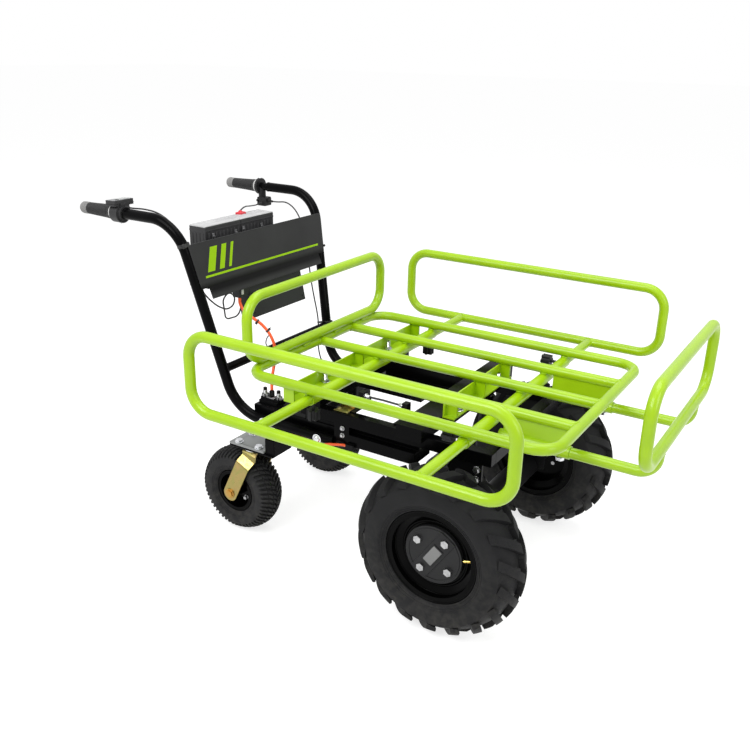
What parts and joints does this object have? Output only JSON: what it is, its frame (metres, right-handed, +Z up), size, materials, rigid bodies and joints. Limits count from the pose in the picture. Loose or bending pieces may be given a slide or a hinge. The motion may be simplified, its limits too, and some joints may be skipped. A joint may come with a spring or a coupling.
{
  "type": "electric wheelbarrow",
  "caption": "Four-wheeled electric barrow with a slatted tube bed, sliding side and front hoops, lugged drive wheels, swivel casters and a twist-grip handle frame.",
  "frame": {"origin": "on the floor, under the middle of the bounding box", "axes": "+X forward towards the front hoop, +Y to the user's left, +Z up"},
  "size_m": [1.502, 1.003, 0.877],
  "materials": {
    "green_paint": "gloss powder coat",
    "black_paint": "gloss powder coat",
    "grey_paint": "satin paint",
    "wheel_paint": "satin paint",
    "caster_rim_paint": "satin paint",
    "motor_paint": "satin paint",
    "panel_paint": "satin paint",
    "bright_zinc": "bright zinc plate",
    "bare_steel": "turned steel",
    "gold_zinc": "yellow passivated zinc plate",
    "tyre_rubber": "moulded rubber",
    "grip_rubber": "moulded rubber",
    "black_plastic": "moulded plastic",
    "red_plastic": "moulded plastic",
    "battery_case": "moulded plastic",
    "controller_case": "black anodised",
    "black_lead": "flexible jacket",
    "orange_lead": "flexible jacket"
  },
  "bodies": {
    "chassis": {"bed_loop": "green_paint", "bed_slats": "green_paint", "side_sockets": "green_paint", "front_hoop_sockets": "green_paint", "rear_bed_bracket": "green_paint", "front_bed_bracket": "green_paint", "rear_hoop": "green_paint", "right_chassis_beam": "black_paint", "left_chassis_beam": "black_paint", "cross_beams": "black_paint", "caster_cross_beam": "black_paint", "axle_housing": "black_paint", "handle_frame": "black_paint", "throttle_housing": "black_plastic", "selector_housing": "black_plastic", "frame_bolts": "bright_zinc", "handle_bolts": "bright_zinc", "cable_clamps": "bright_zinc", "caster_plates": "grey_paint", "drive_motor": "motor_paint", "front_panel": "panel_paint", "battery_tray": "black_paint", "batteries": "battery_case", "controller_box": "controller_case", "left_grip": "grip_rubber", "throttle_lead": "black_lead", "selector_leads": "black_lead", "brake_cable": "black_lead", "motor_leads": "orange_lead"},
    "right_side_hoop": {"right_side_hoop": "green_paint"},
    "left_side_hoop": {"left_side_hoop": "green_paint"},
    "front_hoop": {"front_hoop": "green_paint"},
    "right_rear_knob": {"right_rear_knob": "black_plastic"},
    "left_rear_knob": {"left_rear_knob": "black_plastic"},
    "right_front_knob": {"right_front_knob": "black_plastic"},
    "left_front_knob": {"left_front_knob": "black_plastic"},
    "motor_rotor": {"motor_rotor": "bare_steel"},
    "ring_gear": {"ring_gear": "bare_steel"},
    "twist_grip": {"twist_grip": "grip_rubber"},
    "power_button": {"power_button": "red_plastic"},
    "selector_toggle": {"selector_toggle": "red_plastic"},
    "right_drive_wheel": {"right_tyre": "tyre_rubber", "right_rim": "wheel_paint", "right_hub": "wheel_paint", "right_axle_shaft": "bare_steel", "right_wheel_bolts": "bright_zinc"},
    "right_caster_fork": {"right_caster_fork": "gold_zinc", "right_caster_axle": "gold_zinc"},
    "right_caster_wheel": {"right_caster_tyre": "tyre_rubber", "right_caster_rim": "caster_rim_paint"},
    "left_drive_wheel": {"left_tyre": "tyre_rubber", "left_rim": "wheel_paint", "left_hub": "wheel_paint", "left_axle_shaft": "bare_steel", "left_wheel_bolts": "bright_zinc"},
    "left_caster_fork": {"left_caster_fork": "gold_zinc", "left_caster_axle": "gold_zinc"},
    "left_caster_wheel": {"left_caster_tyre": "tyre_rubber", "left_caster_rim": "caster_rim_paint"}
  },
  "joints": [
    {"name": "right_side_hoop_slide", "type": "slide", "parent": "chassis", "child": "right_side_hoop", "axis": [0, -1, 0], "range_m": [-0.165, 0.04]},
    {"name": "left_side_hoop_slide", "type": "slide", "parent": "chassis", "child": "left_side_hoop", "axis": [0, 1, 0], "range_m": [-0.165, 0.04]},
    {"name": "front_hoop_slide", "type": "slide", "parent": "chassis", "child": "front_hoop", "axis": [1, 0, 0], "range_m": [-0.135, 0.04]},
    {"name": "right_rear_knob_turn", "type": "hinge", "parent": "chassis", "child": "right_rear_knob", "pos_m": [-0.02, -0.279, 0.481], "axis": [0, 0, -1], "range_deg": [0, 720]},
    {"name": "right_front_knob_turn", "type": "hinge", "parent": "chassis", "child": "right_front_knob", "pos_m": [0.3775, -0.279, 0.481], "axis": [-1, 0, 0], "range_deg": [0, 720]},
    {"name": "right_drive_wheel_spin", "type": "hinge", "parent": "chassis", "child": "right_drive_wheel", "pos_m": [0.334, -0.294, 0.205], "axis": [0, 1, 0], "continuous": true},
    {"name": "right_caster_swivel", "type": "hinge", "parent": "chassis", "child": "right_caster_fork", "pos_m": [-0.269, -0.1965, 0.25], "axis": [0, 0, 1], "continuous": true},
    {"name": "right_caster_wheel_spin", "type": "hinge", "parent": "right_caster_fork", "child": "right_caster_wheel", "pos_m": [-0.321, -0.1965, 0.119], "axis": [0, 1, 0], "continuous": true},
    {"name": "left_rear_knob_turn", "type": "hinge", "parent": "chassis", "child": "left_rear_knob", "pos_m": [-0.02, 0.279, 0.481], "axis": [0, 0, -1], "range_deg": [0, 720]},
    {"name": "left_front_knob_turn", "type": "hinge", "parent": "chassis", "child": "left_front_knob", "pos_m": [0.3775, 0.279, 0.481], "axis": [-1, 0, 0], "range_deg": [0, 720]},
    {"name": "left_drive_wheel_spin", "type": "hinge", "parent": "chassis", "child": "left_drive_wheel", "pos_m": [0.334, 0.294, 0.205], "axis": [0, 1, 0], "continuous": true},
    {"name": "left_caster_swivel", "type": "hinge", "parent": "chassis", "child": "left_caster_fork", "pos_m": [-0.269, 0.1965, 0.25], "axis": [0, 0, 1], "continuous": true},
    {"name": "left_caster_wheel_spin", "type": "hinge", "parent": "left_caster_fork", "child": "left_caster_wheel", "pos_m": [-0.321, 0.1965, 0.119], "axis": [0, 1, 0], "continuous": true},
    {"name": "ring_gear_spin", "type": "hinge", "parent": "chassis", "child": "ring_gear", "pos_m": [0.334, 0, 0.205], "axis": [0, 1, 0], "continuous": true},
    {"name": "motor_spin", "type": "hinge", "parent": "chassis", "child": "motor_rotor", "pos_m": [0.249, 0, 0.2854], "axis": [0, 1, 0], "continuous": true},
    {"name": "twist_grip_turn", "type": "hinge", "parent": "chassis", "child": "twist_grip", "pos_m": [-0.716, -0.281, 0.842], "axis": [1, 0, 0], "range_deg": [0, 65], "stiffness_Nm_per_rad": 0.4},
    {"name": "power_button_press", "type": "slide", "parent": "chassis", "child": "power_button", "axis": [0.0349, 0, -0.9994], "range_m": [0, 0.0015], "stiffness_N_per_m": 400},
    {"name": "selector_toggle_tilt", "type": "hinge", "parent": "chassis", "child": "selector_toggle", "pos_m": [-0.624, 0.281, 0.798], "axis": [0, 1, 0], "range_deg": [-12, 12]}
  ],
  "couplings": [
    {"joint": "motor_spin", "follows": "ring_gear_spin", "ratio": -4.2}
  ]
}
